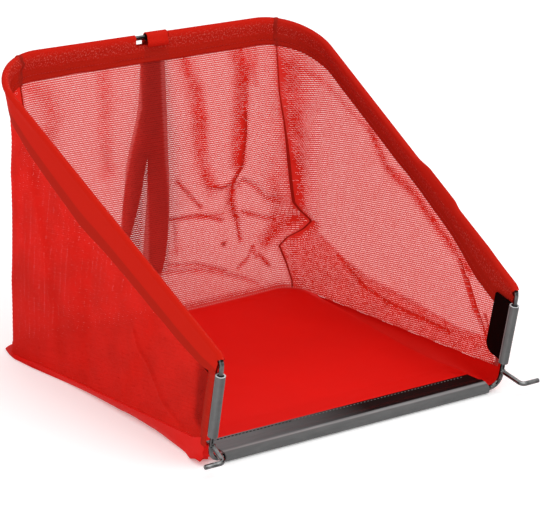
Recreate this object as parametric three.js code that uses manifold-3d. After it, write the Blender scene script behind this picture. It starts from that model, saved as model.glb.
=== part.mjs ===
// Grass catcher for a hand reel mower: a mesh bag with a coated cloth floor, hung in a bent wire
// frame whose front rests on the mower's rail. Millimetres, +X to the right, +Y to the back and
// +Z up. The origin is on the underside of the floor, midway between its front and its back.
import * as THREE from 'three';
import { mergeVertices } from 'three/addons/utils/BufferGeometryUtils.js';
import Module from 'manifold-3d';

const wasm = await Module();
wasm.setup();

const degree = Math.PI / 180;
const clearance = 0.3;            // left between pieces that touch

// Wire frame, measured on the wire's centre line
const wireDiameter = 5;
const frontWidth = 350;           // between the uprights
const backWidth = 399;            // between the side rails, where they would reach the back rail
const frameDepth = 391;           // front rail to back rail
const kneeHeight = 114;           // where an upright would reach its side rail
const backHeight = 316;
const uprightLean = 12.5;         // degrees, forwards
const footBendRadius = 12;
const kneeBendRadius = 11;
const backBendRadius = 60;
const buttGap = 0.4;              // the wire's two ends meet inside the front profile

// Hooks, welded to the front of the uprights
const hookHeight = 17;            // along the upright, above the front rail
const hookReach = 25;             // forwards
const hookSpread = 4;             // outwards
const hookDrop = 6.5;
const pinLength = 21;             // outwards, beyond the hook's bend
const hookBendRadius = 5;

// Edge profiles: a tube round the wire with a tail that is sewn to the cloth
const profileDiameter = 10;
const profileBore = 6.8;
const tailThickness = 1.5;
const frontTail = 32;             // the tails' widths, from the wire's centre line
const frontProfileLength = frontWidth - 32;
const frontTwist = [0, 26];       // degrees that the tube turns about the wire, left and right end
const sideTail = 30;
const sideProfileStart = 27.5;    // along the upright, above the front rail
const sideProfileLength = 67;
const sideTailRound = 11;

// Bag
const clothThickness = 1.2;
const sleeveThickness = 0.95;
const hemDrop = 28;               // below the wire's centre line
const hemThickness = 1;           // the turned layer, on the inside
const seamTurn = 0.75;            // share of the back bend that the side panels cover
const footFrontWidth = frontWidth + 5;   // foot of the walls
const footBackWidth = backWidth - 27;
const footBackEdge = frameDepth - 5;     // behind the front rail
const footBow = 8;                // the foot's back edge bows in
const footCornerRadius = 25;
const wallStart = 9.5;            // the walls' front edge, behind the uprights' centre line
const sideLift = 22;              // the floor's sides curl up towards the front
const sideCurl = 8;               // width of the curl

// Floor
const floorThickness = 1;
const frontLiftEnd = 85;          // the floor comes down from the front profile to the ground here
const seamAllowance = 8;          // stands out round the foot of the walls, at the back
const sideAllowance = 1.5;

// Mesh: ridges along the weft, and gaps between the threads
const backGaps = { across: 10, up: 11 };
const sideGaps = { across: 8, up: 8 };
const gapShare = 0.4;             // of the distance from one gap to the next
const ridgeDepth = 0.8;

// Strap, hung from the back rail in a notch of the hem
const strapWidth = 26;
const strapThickness = 1.4;
const strapCentre = 8;
const notchLeft = -18;
const notchRight = 22;
const notchDepth = 7.5;           // below the wire's centre line
const strapStandOff = 3.5;        // between the back panel and the strap's near face

// Soft folds of the hung mesh, in hundredths of the back's height: where each runs, from and to
// (along the wall, up), how far it stands out, and how wide it is to each side
const backFolds = [
  { from: [37, 89.9], to: [38, 68], out: -2.2, width: 4.1 },
  { from: [38, 68], to: [32.6, 44], out: -2.5, width: 4.1 },
  { from: [18, 82.6], to: [22.8, 43.7], out: 1.6, width: 5.7 },
  { from: [26.6, 42.4], to: [39.6, 42.7], out: 1.9, width: 3.5 },
  { from: [39.6, 42.7], to: [46.2, 38], out: 1.6, width: 3.5 },
  { from: [33.5, 43.7], to: [35.8, 22.2], out: 1.9, width: 3.8 },
  { from: [4.7, 17.7], to: [22.2, 14.2], out: 1.3, width: 3.8 },
  { from: [22.2, 14.2], to: [39.6, 5.4], out: 1.6, width: 3.8 },
  { from: [51.9, 34.8], to: [62, 22.8], out: 2.5, width: 4.7 },
];
const rightFolds = [
  { from: [52.2, 51.6], to: [32.3, 39.6], out: 1.6, width: 4.1 },
  { from: [25.3, 37.3], to: [15.5, 22.5], out: 1.3, width: 3.5 },
  { from: [20.9, 31.6], to: [7, 12], out: 1.3, width: 3.2 },
  { from: [117.7, 27.8], to: [104.4, 19], out: 1.9, width: 7 },
];
const leftFolds = [
  { from: [104.4, 75.9], to: [109.2, 38], out: -0.9, width: 8.2 },
  { from: [28.5, 38], to: [47.5, 7.9], out: 1.3, width: 5.7 },
];

const wireRadius = wireDiameter / 2;
const railHeight = profileDiameter / 2;
const sleeveBore = wireRadius + clearance + 0.15;       // the sleeve is faceted, so a little more
const sleeveRadius = sleeveBore + sleeveThickness;
const wallOffset = sleeveRadius - clothThickness / 2;   // the walls hang from the sleeve's outside
const frameMiddle = footBackEdge / 2;

// Closed solids and their booleans

function toSolid(geometry) {
  const bare = geometry.clone();
  bare.deleteAttribute('normal');
  bare.deleteAttribute('uv');
  const merged = mergeVertices(bare, 1e-5);
  return new wasm.Manifold(new wasm.Mesh({
    numProp: 3,
    vertProperties: new Float32Array(merged.attributes.position.array),
    triVerts: new Uint32Array(merged.index.array),
  }));
}

function toGeometry(solid) {
  const mesh = solid.getMesh();
  const geometry = new THREE.BufferGeometry();
  geometry.setAttribute('position', new THREE.BufferAttribute(new Float32Array(mesh.vertProperties), 3));
  geometry.setIndex(new THREE.BufferAttribute(new Uint32Array(mesh.triVerts), 1));
  return geometry;
}

// Turns a closed geometry's faces outwards if they face in
function facingOut(geometry) {
  const place = geometry.attributes.position;
  const index = geometry.index;
  const [a, b, c] = [new THREE.Vector3(), new THREE.Vector3(), new THREE.Vector3()];
  let volume = 0;
  for (let k = 0; k < index.count; k += 3) {
    a.fromBufferAttribute(place, index.getX(k));
    b.fromBufferAttribute(place, index.getX(k + 1));
    c.fromBufferAttribute(place, index.getX(k + 2));
    volume += a.dot(b.clone().cross(c));
  }
  if (volume > 0) return geometry;
  for (let k = 0; k < index.count; k += 3) {
    const first = index.getX(k);
    index.setX(k, index.getX(k + 2));
    index.setX(k + 2, first);
  }
  return geometry;
}

// A closed sheet between two faces, given at the crossings of a grid. Open cells are left out.
function sheet(columns, rows, outer, inner, isOpen = () => false) {
  const positions = [];
  for (const face of [outer, inner]) {
    for (let j = 0; j <= rows; j++) {
      for (let i = 0; i <= columns; i++) positions.push(...face(i, j).toArray());
    }
  }
  const out = (i, j) => j * (columns + 1) + i;
  const inn = (i, j) => out(i, j) + (columns + 1) * (rows + 1);
  const isCloth = (i, j) => i >= 0 && i < columns && j >= 0 && j < rows && !isOpen(i, j);
  const index = [];
  const quad = (a, b, c, d) => index.push(a, b, c, a, c, d);
  for (let j = 0; j < rows; j++) {
    for (let i = 0; i < columns; i++) {
      if (!isCloth(i, j)) continue;
      quad(out(i, j), out(i + 1, j), out(i + 1, j + 1), out(i, j + 1));
      quad(inn(i, j), inn(i, j + 1), inn(i + 1, j + 1), inn(i + 1, j));
      if (!isCloth(i, j - 1)) quad(inn(i, j), inn(i + 1, j), out(i + 1, j), out(i, j));
      if (!isCloth(i + 1, j)) quad(inn(i + 1, j), inn(i + 1, j + 1), out(i + 1, j + 1), out(i + 1, j));
      if (!isCloth(i, j + 1)) quad(inn(i + 1, j + 1), inn(i, j + 1), out(i, j + 1), out(i + 1, j + 1));
      if (!isCloth(i - 1, j)) quad(inn(i, j + 1), inn(i, j), out(i, j), out(i, j + 1));
    }
  }
  const geometry = new THREE.BufferGeometry();
  geometry.setAttribute('position', new THREE.Float32BufferAttribute(positions, 3));
  geometry.setIndex(index);
  return facingOut(geometry);
}

// Tubes along bent wire

// A path through chosen stations, so that straight runs take one step and bends take several
class StationPath extends THREE.Curve {
  constructor(stations) {
    super();
    this.stations = stations;
    this.last = stations.length - 1;
  }
  getPointAt(u, target = new THREE.Vector3()) {
    const k = Math.min(Math.floor(u * this.last + 1e-9), this.last - 1);
    return target.lerpVectors(this.stations[k], this.stations[k + 1], u * this.last - k);
  }
  getTangentAt(u, target = new THREE.Vector3()) {
    const k = Math.round(u * this.last);
    const before = this.direction(Math.max(k - 1, 0));
    const after = this.direction(Math.min(k, this.last - 1));
    return target.addVectors(before, after).normalize();
  }
  direction(k) {
    return this.stations[k + 1].clone().sub(this.stations[k]).normalize();
  }
}

function polygon(radius, sides) {
  const corner = (k) => new THREE.Vector2(radius, 0).rotateAround(new THREE.Vector2(), k * 2 * Math.PI / sides);
  return new THREE.Shape(Array.from({ length: sides }, (_, k) => corner(k)));
}

function tube(stations, radius, sides) {
  return new THREE.ExtrudeGeometry(polygon(radius, sides), {
    extrudePath: new StationPath(stations),
    steps: stations.length - 1,
  });
}

// A round bend at a corner between two straight runs
function bend(before, corner, after, radius) {
  const back = before.clone().sub(corner).normalize();
  const on = after.clone().sub(corner).normalize();
  const half = back.angleTo(on) / 2;
  const turn = Math.PI - 2 * half;
  const start = corner.clone().addScaledVector(back, radius / Math.tan(half));
  const end = corner.clone().addScaledVector(on, radius / Math.tan(half));
  const centre = corner.clone().addScaledVector(back.clone().add(on).normalize(), radius / Math.sin(half));
  const spoke = start.clone().sub(centre);
  const axis = spoke.clone().cross(end.clone().sub(centre)).normalize();
  const at = (share) => spoke.clone().applyAxisAngle(axis, turn * share).add(centre);
  const heading = (share) => axis.clone().cross(at(share).sub(centre)).normalize();
  const stations = (steps) => Array.from({ length: steps + 1 }, (_, k) => at(k / steps));
  return { start, end, at, heading, stations, length: radius * turn };
}

// Wire frame

function frameBends(side) {
  const rise = kneeHeight - railHeight;
  const front = new THREE.Vector3(0, 0, railHeight);
  const foot = new THREE.Vector3(side * frontWidth / 2, 0, railHeight);
  const knee = new THREE.Vector3(foot.x, -rise * Math.tan(uprightLean * degree), kneeHeight);
  const back = new THREE.Vector3(side * backWidth / 2, frameDepth, backHeight);
  const middle = new THREE.Vector3(0, frameDepth, backHeight);
  return {
    foot: bend(front, foot, knee, footBendRadius),
    knee: bend(foot, knee, back, kneeBendRadius),
    back: bend(knee, back, middle, backBendRadius),
  };
}

const frame = { [-1]: frameBends(-1), [1]: frameBends(1) };

function halfWire(side) {
  const { foot, knee, back } = frame[side];
  const end = new THREE.Vector3(side * buttGap / 2, 0, railHeight);
  return [end, ...foot.stations(5), ...knee.stations(5), ...back.stations(8)];
}

function frameWire() {
  return tube([...halfWire(1), ...halfWire(-1).reverse()], wireRadius, 10);
}

function hook(side) {
  const along = new THREE.Vector3(0, -Math.sin(uprightLean * degree), Math.cos(uprightLean * degree));
  const weld = new THREE.Vector3(side * frontWidth / 2, 0, railHeight).addScaledVector(along, hookHeight);
  weld.y -= (wireRadius + clearance) / Math.cos(uprightLean * degree);
  const corner = weld.clone().add(new THREE.Vector3(side * hookSpread, -hookReach, -hookDrop));
  const tip = corner.clone().add(new THREE.Vector3(side * pinLength, 0, 0));
  const turn = bend(weld, corner, tip, hookBendRadius);
  return tube([weld, ...turn.stations(5), tip], wireRadius, 10);
}

// Edge profiles, drawn with the section's x backwards and its y upwards

// Turns an extrusion so that its x runs back, its y up and its depth to the right
function layAcross(geometry) {
  return geometry.rotateX(Math.PI / 2).rotateZ(Math.PI / 2);
}

// The front profile: the tail lies flush with the top of the tube, and the tube is turned a
// little further about the wire towards the right end, which pulls the tail's root forwards
function frontProfile() {
  const radius = profileDiameter / 2;
  const root = Math.acos(1 - tailThickness / radius);
  const section = new THREE.Shape();
  section.moveTo(frontTail, radius - tailThickness);
  section.lineTo(frontTail, radius);
  for (const share of [0.75, 0.5, 0.3, 0.15]) section.lineTo(frontTail * share, radius);
  for (let k = 0; k <= 12; k++) {
    const angle = Math.PI / 2 + (2 * Math.PI - root) * k / 12;
    section.lineTo(radius * Math.cos(angle), radius * Math.sin(angle));
  }
  for (const share of [0.3, 0.5, 0.75]) section.lineTo(frontTail * share, radius - tailThickness);
  section.holes.push(new THREE.Path(polygon(profileBore / 2, 12).getPoints()));
  const geometry = layAcross(new THREE.ExtrudeGeometry(section, {
    depth: frontProfileLength,
    steps: 7,
    bevelEnabled: false,
  }));
  geometry.translate(-frontProfileLength / 2, 0, 0);
  const place = geometry.attributes.position;
  const point = new THREE.Vector3();
  const [leftTwist, rightTwist] = frontTwist;
  for (let k = 0; k < place.count; k++) {
    point.fromBufferAttribute(place, k);
    const share = point.x / frontProfileLength + 0.5;
    const reach = Math.hypot(point.y, point.z);
    const grip = THREE.MathUtils.clamp((frontTail / 2 - reach) / (frontTail / 2 - radius), 0, 1);
    const twist = THREE.MathUtils.lerp(leftTwist, rightTwist, share) * grip * degree;
    point.applyAxisAngle(new THREE.Vector3(1, 0, 0), twist);
    place.setXYZ(k, point.x, point.y, point.z);
  }
  return toGeometry(toSolid(geometry));
}

// A side profile, with its tube upright: the tail stands out behind the tube, rounded at its foot
function sideProfile() {
  const tail = new THREE.Shape();
  tail.moveTo(0, 0);
  tail.lineTo(sideTail - sideTailRound, 0);
  tail.absarc(sideTail - sideTailRound, sideTailRound, sideTailRound, -Math.PI / 2, 0);
  tail.lineTo(sideTail, sideProfileLength - tailThickness);
  tail.lineTo(sideTail - tailThickness, sideProfileLength);
  tail.lineTo(0, sideProfileLength);
  const plate = new THREE.ExtrudeGeometry(tail, { depth: tailThickness, bevelEnabled: false, curveSegments: 6 });
  const upright = (radius, length) => {
    const cylinder = new THREE.CylinderGeometry(radius, radius, length, 14);
    return toSolid(cylinder.rotateX(Math.PI / 2).translate(0, 0, sideProfileLength / 2));
  };
  return toGeometry(toSolid(layAcross(plate).translate(-tailThickness / 2, 0, 0))
    .add(upright(profileDiameter / 2, sideProfileLength))
    .subtract(upright(profileBore / 2, sideProfileLength + 2)));
}

// Outlines of the bag: the rim on the wire and the foot on the floor, by the distance along them

// A point of one side's rim, and which way is out of the bag there
function rimAt(side, distance) {
  const { knee, back } = frame[side];
  const rail = knee.end.distanceTo(back.start);
  const turned = Math.min(Math.max(distance - rail, 0) / back.length, 1);
  const heading = back.heading(turned);
  const point = distance < rail ? knee.end.clone() : back.at(turned);
  point.addScaledVector(heading, distance < rail ? distance : Math.max(distance - rail - back.length, 0));
  const out = heading.cross(new THREE.Vector3(0, 0, side)).normalize();
  return { point, out };
}

function rimLength(side) {
  const { knee, back } = frame[side];
  return knee.end.distanceTo(back.start) + back.length + Math.abs(back.end.x);
}

function rimSeam(side) {
  const { knee, back } = frame[side];
  return knee.end.distanceTo(back.start) + back.length * seamTurn;
}

// The foot's height: on the ground round the back corners, and lifted by the floor's curled
// sides in front
function liftAt(y) {
  return sideLift * THREE.MathUtils.clamp(1 - y / (footBackEdge - footCornerRadius), 0, 1);
}

function footStart(side) {
  const edge = wallStart - Math.tan(uprightLean * degree) * (sideLift - railHeight);
  return new THREE.Vector3(side * footFrontWidth / 2, edge, 0);
}

function footBend(side) {
  const corner = new THREE.Vector3(side * footBackWidth / 2, footBackEdge, 0);
  return bend(footStart(side), corner, new THREE.Vector3(0, footBackEdge, 0), footCornerRadius);
}

function footAt(side, distance) {
  const start = footStart(side);
  const corner = footBend(side);
  const straight = start.distanceTo(corner.start);
  const point = new THREE.Vector3();
  let heading = corner.heading(0);
  if (distance < straight) {
    point.lerpVectors(start, corner.start, distance / straight);
  } else if (distance < straight + corner.length) {
    const turned = (distance - straight) / corner.length;
    point.copy(corner.at(turned));
    heading = corner.heading(turned);
  } else {
    heading = corner.heading(1);
    const inward = distance - straight - corner.length;
    point.copy(corner.end).addScaledVector(heading, inward);
    point.y -= footBow * (1 - (point.x / corner.end.x) ** 2);
  }
  point.z = liftAt(point.y) + floorThickness + clearance;
  const out = heading.cross(new THREE.Vector3(0, 0, side)).normalize();
  return { point, out };
}

function footLength(side) {
  const corner = footBend(side);
  return footStart(side).distanceTo(corner.start) + corner.length + Math.abs(corner.end.x);
}

function footSeam(side) {
  const corner = footBend(side);
  return footStart(side).distanceTo(corner.start) + corner.length / 2;
}

// Mesh panels

// How far the folds carry a point of a wall, given its place along the wall and its height
function foldOut(folds, along, height) {
  const unit = backHeight / 100;
  const point = new THREE.Vector3(along / unit, height / unit, 0);
  const nearest = new THREE.Vector3();
  let out = 0;
  for (const fold of folds) {
    const line = new THREE.Line3(new THREE.Vector3(...fold.from, 0), new THREE.Vector3(...fold.to, 0));
    line.closestPointToPoint(point, true, nearest);
    out += fold.out * unit * Math.exp(-((point.distanceTo(nearest) / fold.width) ** 2));
  }
  return out;
}

// The wall of a panel, with its hem. columnAt(u) gives the rim and the foot at a share of the
// panel's width, foldAt(point) how far the cloth stands out there.
function wall(columnAt, foldAt, gaps) {
  const columns = 2 * gaps.across + 1;
  const meshRows = 2 * gaps.up + 1;
  const rows = meshRows + 2;
  const pitch = 1 / (gaps.across + 1);
  const shareAt = (i, j) => {
    if (i === 0 || i === columns) return i / columns;
    const gap = Math.floor((i - 1) / 2);
    const edge = (i % 2 === 1 ? -0.5 : 0.5) * gapShare;
    const stagger = j % 4 === 1 || j % 4 === 2 ? -0.25 : 0.25;
    return (gap + 1 + stagger + edge) * pitch;
  };
  const crossing = (i, j, depth) => {
    const { rim, foot } = columnAt(shareAt(i, Math.min(j, meshRows)));
    const top = rim.point.clone().addScaledVector(rim.out, wallOffset);
    const out = rim.out.clone().add(foot.out).normalize();
    const hem = 1 - hemDrop / (top.z - foot.point.z);
    const height = [hem * Math.min(j / meshRows, 1), hem + 0.02 * (1 - hem), 1][Math.max(j - meshRows, 0)];
    const point = foot.point.clone().lerp(top, height);
    const inward = Math.min(i, columns - i) / columns;
    const fade = Math.sin(Math.PI * Math.min(height / hem, 1)) ** 0.5 * Math.min(inward / 0.1, 1);
    const ridge = j > 0 && j < meshRows ? ridgeDepth * (j % 2 - 0.5) : 0;
    return point.addScaledVector(out, foldAt(point) * fade + ridge + depth);
  };
  const outer = (i, j) => crossing(i, j, clothThickness / 2);
  const inner = (i, j) => crossing(i, j, -clothThickness / 2 - (j > meshRows ? hemThickness : 0));
  const isOpen = (i, j) => i % 2 === 1 && j % 2 === 1 && j < meshRows;
  return toSolid(sheet(columns, rows, outer, inner, isOpen));
}

// Wraps a wall's top round the wire: a sleeve is added, and room for the wire is cut out
function wrapped(panelWall, sleeveStations, wireStations) {
  return panelWall
    .add(toSolid(tube(sleeveStations, sleeveRadius, 10)))
    .subtract(toSolid(tube(wireStations, sleeveBore, 10)));
}

// The rim's stations between two distances. They are close together where the rim bends, and
// again at both ends, so that the sleeves of two panels meet square.
function rimStations(side, from, to) {
  const rail = frame[side].knee.end.distanceTo(frame[side].back.start);
  const step = frame[side].back.length / 8;
  const endStep = 1.5;
  const inner = Array.from({ length: 9 }, (_, k) => rail + k * step)
    .filter((distance) => distance > from + 2 * endStep && distance < to - 2 * endStep);
  return [from, from + endStep, ...inner, to - endStep, to].map((distance) => rimAt(side, distance).point);
}

function sidePanel(side, folds) {
  const columnAt = (u) => ({
    rim: rimAt(side, clearance + u * (rimSeam(side) - 2 * clearance)),
    foot: footAt(side, clearance + u * (footSeam(side) - 2 * clearance)),
  });
  const panelWall = wall(columnAt, (point) => foldOut(folds, point.y, point.z), sideGaps);
  const { knee } = frame[side];
  const wire = [...knee.stations(5).slice(3, 5), ...rimStations(side, 0, rimSeam(side) + 4)];
  return toGeometry(wrapped(panelWall, rimStations(side, clearance, rimSeam(side) - clearance), wire));
}

function backPanel() {
  const columnAt = (u) => {
    const side = u < 0.5 ? -1 : 1;
    const inward = 1 - Math.abs(2 * u - 1);
    const rimFrom = rimSeam(side) + clearance;
    const footFrom = footSeam(side) + clearance;
    return {
      rim: rimAt(side, rimFrom + inward * (rimLength(side) - rimFrom)),
      foot: footAt(side, footFrom + inward * (footLength(side) - footFrom)),
    };
  };
  const panelWall = wall(columnAt, (point) => foldOut(backFolds, point.x, point.z), backGaps);
  const half = (side, from) => rimStations(side, from, rimLength(side)).slice(0, -2);
  const sleeve = [-1, 1].map((side) => half(side, rimSeam(side) + clearance));
  const wire = [-1, 1].map((side) => half(side, rimSeam(side) - 4));
  const notch = new THREE.BoxGeometry(notchRight - notchLeft, 30, 30)
    .translate((notchLeft + notchRight) / 2, frameDepth, backHeight - notchDepth + 15);
  return toGeometry(wrapped(panelWall, [...sleeve[0], ...sleeve[1].reverse()], [...wire[0], ...wire[1].reverse()])
    .subtract(toSolid(notch)));
}

// Floor panel: flat on the ground, up to the front profile's tail in front, and curled up to the
// foot of the side panels. Its cut edge stands out round the foot as a seam allowance.
function floorPanel() {
  const columns = 14;
  const rows = 12;
  const frontTop = railHeight + profileDiameter / 2 - tailThickness - clearance;
  const frontEdge = profileDiameter / 2 + clearance + 1;
  const place = (i, j, depth) => {
    const across = (i / columns) * 2 - 1;
    const side = across < 0 ? -1 : 1;
    const v = (1 - Math.cos(Math.PI * j / rows)) / 2;
    const edge = footAt(side, v * footSeam(side));
    const allowance = THREE.MathUtils.lerp(sideAllowance, seamAllowance, v ** 3);
    const point = edge.point.clone().addScaledVector(edge.out, allowance);
    const halfWidth = Math.abs(point.x);
    point.x = halfWidth * Math.sin(across * Math.PI / 2);
    if (j === 0) point.y = frontEdge;
    if (j === rows) {
      const distance = THREE.MathUtils.lerp(footSeam(side), footLength(side), 1 - Math.abs(across));
      const { point: foot, out } = footAt(side, distance);
      point.copy(foot).addScaledVector(out, seamAllowance);
    }
    const curl = THREE.MathUtils.clamp((Math.abs(point.x) - halfWidth + sideCurl) / sideCurl, 0, 1);
    const down = THREE.MathUtils.smoothstep(point.y, frontTail, frontLiftEnd);
    const ramp = (1 - down) * (frontTop - floorThickness);
    point.z = ramp + Math.max(liftAt(point.y) - ramp, 0) * curl ** 2 + depth;
    return point;
  };
  return sheet(columns, rows, (i, j) => place(i, j, floorThickness), (i, j) => place(i, j, 0));
}

// Strap: rolled round the back rail, sewn flat below it, then two legs that part and join in a
// loop. The legs turn edge on towards the loop's end.
const strapNear = frameDepth + wallOffset + clothThickness / 2 + strapStandOff;
const rollBore = wireRadius + clearance;

// The band's centre line: down one leg, round the loop's end and up the other leg. Each point is
// to the side and behind in strap widths, then up as a share of the back's height.
function strapPath() {
  return new THREE.CatmullRomCurve3([
    [0.31, 0, 0.968], [0.35, 0, 0.759], [0.42, 0.04, 0.538], [0.46, 0.12, 0.339],
    [0.35, 0.23, 0.196], [-0.04, 0.31, 0.079], [-0.62, 0.35, 0.025], [-1.23, 0.31, 0.057],
    [-1.46, 0.23, 0.146], [-1.31, 0.12, 0.253], [-0.96, 0.04, 0.354], [-0.35, -0.04, 0.5],
    [0.04, -0.04, 0.633], [0.19, -0.04, 0.791], [0.27, -0.04, 0.968],
  ].map(([aside, behind, up]) => new THREE.Vector3(
    aside * strapWidth,
    strapNear + behind * strapWidth,
    up * backHeight,
  )));
}

// One leg, between two shares of the path. The band turns over on its way round the loop's end.
function strapLeg(from, to) {
  const columns = 22;
  const path = strapPath();
  const place = (i, across, depth) => {
    const u = THREE.MathUtils.lerp(from, to, i / columns);
    const heading = path.getTangentAt(u);
    const turn = THREE.MathUtils.smoothstep(u, 0.22, 0.78) * Math.PI;
    const facing = new THREE.Vector3(Math.sin(turn), Math.cos(turn), 0);
    const width = heading.clone().cross(facing).normalize();
    const out = width.clone().cross(heading).normalize();
    return path.getPointAt(u).addScaledVector(width, across * strapWidth / 2).addScaledVector(out, depth);
  };
  return toSolid(sheet(columns, 2, (i, j) => place(i, j - 1, strapThickness / 2),
    (i, j) => place(i, j - 1, -strapThickness / 2)));
}

// The stretch from the roll round the rail back to the sewn legs
function strapNeck() {
  const top = backHeight - rollBore;
  const seam = 20;
  const neck = new THREE.Shape([
    [frameDepth, top], [frameDepth, top - strapThickness], [strapNear - 2, top - 3 * strapThickness],
    [strapNear - 2, backHeight - seam], [strapNear + 1, backHeight - seam],
    [strapNear + 1, top - strapThickness], [strapNear - 1, top],
  ].map((corner) => new THREE.Vector2(...corner)));
  return layAcross(new THREE.ExtrudeGeometry(neck, { depth: strapWidth, bevelEnabled: false }))
    .translate(strapCentre - strapWidth / 2, 0, 0);
}

function hangingStrap() {
  const roll = (radius, length) => toSolid(new THREE.CylinderGeometry(radius, radius, length, 18)
    .rotateZ(Math.PI / 2).translate(strapCentre, frameDepth, backHeight));
  return toGeometry(strapLeg(0, 0.5)
    .add(strapLeg(0.5, 1))
    .add(toSolid(strapNeck()))
    .add(roll(rollBore + strapThickness, strapWidth))
    .subtract(roll(rollBore, strapWidth + 2)));
}

// Scene graph

const finishes = {
  wire: { color: 0x8d9093, roughness: 0.38, metalness: 1 },
  profile: { color: 0x3c3d3f, roughness: 0.45, metalness: 0 },
  mesh: { color: 0xd3281c, roughness: 0.8, metalness: 0 },
  floor: { color: 0xdf1c10, roughness: 0.6, metalness: 0 },
  strap: { color: 0xa81d14, roughness: 0.85, metalness: 0 },
};

function named(name, finish, geometry) {
  const mesh = new THREE.Mesh(geometry, new THREE.MeshStandardMaterial(finishes[finish]));
  mesh.name = name;
  return mesh;
}

// A side profile on its upright: the group stands on the front rail's line and leans with the wire
function uprightGroup(side, name) {
  const group = new THREE.Group();
  group.position.set(side * frontWidth / 2, 0, railHeight);
  group.rotation.x = uprightLean * degree;
  const profile = named(name, 'profile', sideProfile());
  profile.position.z = sideProfileStart;
  group.add(profile);
  return group;
}

const frontEdge = named('front_edge_profile', 'profile', frontProfile());
frontEdge.position.z = railHeight;

const catcher = new THREE.Group();
catcher.position.y = -frameMiddle;
catcher.add(
  named('frame_wire', 'wire', frameWire()),
  named('left_hook', 'wire', hook(-1)),
  named('right_hook', 'wire', hook(1)),
  frontEdge,
  uprightGroup(-1, 'left_edge_profile'),
  uprightGroup(1, 'right_edge_profile'),
  named('back_panel', 'mesh', backPanel()),
  named('left_panel', 'mesh', sidePanel(-1, leftFolds)),
  named('right_panel', 'mesh', sidePanel(1, rightFolds)),
  named('floor_panel', 'floor', floorPanel()),
  named('hanging_strap', 'strap', hangingStrap()),
);

export default catcher;
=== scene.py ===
import bpy
import bmesh
import math
import numpy as np
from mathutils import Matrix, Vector


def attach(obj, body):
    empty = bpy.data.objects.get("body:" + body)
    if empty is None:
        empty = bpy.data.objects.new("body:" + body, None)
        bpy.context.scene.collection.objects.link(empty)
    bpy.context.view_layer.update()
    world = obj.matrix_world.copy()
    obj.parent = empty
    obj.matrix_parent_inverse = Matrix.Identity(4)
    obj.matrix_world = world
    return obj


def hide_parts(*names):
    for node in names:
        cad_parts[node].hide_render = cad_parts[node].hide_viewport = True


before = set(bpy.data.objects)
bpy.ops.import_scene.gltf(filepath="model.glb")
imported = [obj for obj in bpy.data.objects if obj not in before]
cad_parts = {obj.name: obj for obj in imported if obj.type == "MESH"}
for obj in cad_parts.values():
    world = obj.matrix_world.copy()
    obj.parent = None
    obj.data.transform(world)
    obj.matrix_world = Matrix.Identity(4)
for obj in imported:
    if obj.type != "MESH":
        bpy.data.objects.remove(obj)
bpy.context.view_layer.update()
scene = bpy.context.scene
chance = np.random.default_rng(11)
mm = 0.001

# lengths of the frame and the bag in mm, with y counted from the front rail
bag = {
    "frontWidth": 350, "backWidth": 399, "depth": 391, "kneeHeight": 114, "backHeight": 316,
    "railHeight": 5, "lean": 12.5, "kneeBend": 11, "backBend": 60, "seamTurn": 0.75,
    "footFront": 355, "footBack": 372, "footEdge": 386, "footBow": 8, "footCorner": 25,
    "wallStart": 9.5, "sideLift": 22, "wallOffset": 3.3, "hemDrop": 28, "middle": 193,
}
lean = math.radians(bag["lean"])
squareOn = np.array([0, math.cos(lean), math.sin(lean)])  # square to the leaning uprights, to the back
sides = {"left": -1, "right": 1}

# camera: the photo's angle and lens
view = {"azimuth": -33.83, "elevation": 18.23, "distance": 2443.9, "target": (0.95, 160, 134.6),
        "lens": 160, "sensor": 36, "farthest": 50}


def placed(points):
    return (np.asarray(points, float) - [0, bag["middle"], 0]) * mm


def addCamera():
    a, e = math.radians(view["azimuth"]), math.radians(view["elevation"])
    away = np.array([math.sin(a) * math.cos(e), -math.cos(a) * math.cos(e), math.sin(e)])
    data = bpy.data.cameras.new("camera")
    data.lens = view["lens"]
    data.sensor_width = view["sensor"]
    data.clip_end = view["farthest"]
    camera = bpy.data.objects.new("camera", data)
    camera.location = placed(np.array(view["target"]) + away * view["distance"])
    camera.rotation_euler = Vector(-away).to_track_quat("-Z", "Y").to_euler()
    scene.collection.objects.link(camera)
    scene.camera = camera


addCamera()
print("camera set")


# outlines of the rim and the foot

def unit(v):
    return v / np.linalg.norm(v, axis=-1, keepdims=True)


# 1 in the middle, fading to nothing beyond the width
def bell(distance, width):
    return np.exp(-(distance / width) ** 2)


# length along a line at each of its points
def runAlong(points):
    return np.concatenate([[0], np.cumsum(np.linalg.norm(np.diff(points, axis=0), axis=1))])


def pickAt(distance, run, table):
    return np.stack([np.interp(distance, run, table[:, k]) for k in range(3)], -1)


def bendPoints(before, corner, after, radius, steps):
    back, on = unit(before - corner), unit(after - corner)
    half = math.acos(float(back @ on)) / 2
    start = corner + back * radius / math.tan(half)
    end = corner + on * radius / math.tan(half)
    centre = corner + unit(back + on) * radius / math.sin(half)
    spoke = start - centre
    axis = unit(np.cross(spoke, end - centre))
    turns = np.linspace(0, math.pi - 2 * half, steps + 1)
    return [centre + spoke * math.cos(t) + np.cross(axis, spoke) * math.sin(t) for t in turns]


class Outline:
    def __init__(self, points, side):
        self.points = np.array(points)
        self.distance = runAlong(self.points)
        self.length = self.distance[-1]
        headings = np.diff(self.points, axis=0) / np.diff(self.distance)[:, None]
        self.heading = unit(np.vstack([headings[:1], headings[:-1] + headings[1:], headings[-1:]]))
        out = np.cross(self.heading, [0, 0, side])
        out[:, 2] = 0
        self.out = unit(out)

    # point, way out and heading at a distance along the line
    def at(self, distance):
        point, out, heading = [pickAt(distance, self.distance, table)
                               for table in (self.points, self.out, self.heading)]
        return point, unit(out), unit(heading)


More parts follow.
